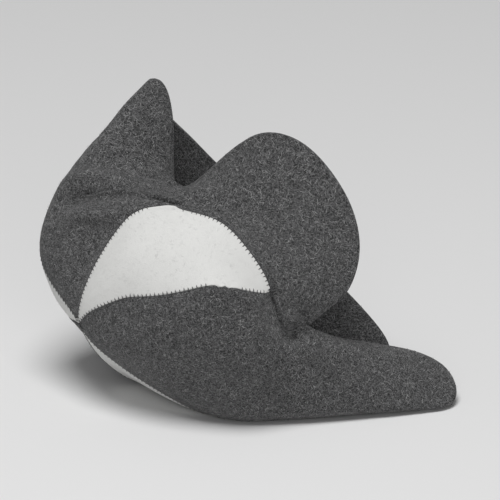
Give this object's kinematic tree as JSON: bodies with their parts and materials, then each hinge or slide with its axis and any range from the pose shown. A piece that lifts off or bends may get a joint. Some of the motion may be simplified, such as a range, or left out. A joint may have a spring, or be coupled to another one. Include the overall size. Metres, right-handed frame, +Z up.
{
  "type": "felt sauna hat",
  "caption": "Wool felt sauna hat of dark panels and pale leaf-shaped inserts, with a wide wavy edge, lying on its side.",
  "frame": {"origin": "centre of the bounding box's base, on the surface that the hat lies on", "axes": "+X from the crown towards the lobe that lies on the ground, +Y to the back, +Z up"},
  "size_m": [0.3628, 0.1972, 0.2617],
  "materials": {
    "grey_felt": "dark grey melange wool felt with loose pale fibres",
    "white_felt": "off-white wool felt, matt"
  },
  "bodies": {
    "root": {"grey_panel_front": "grey_felt", "grey_panel_top": "grey_felt", "grey_panel_back": "grey_felt", "white_leaf_front": "white_felt", "white_leaf_side": "white_felt", "white_leaf_under": "white_felt"}
  },
  "joints": []
}
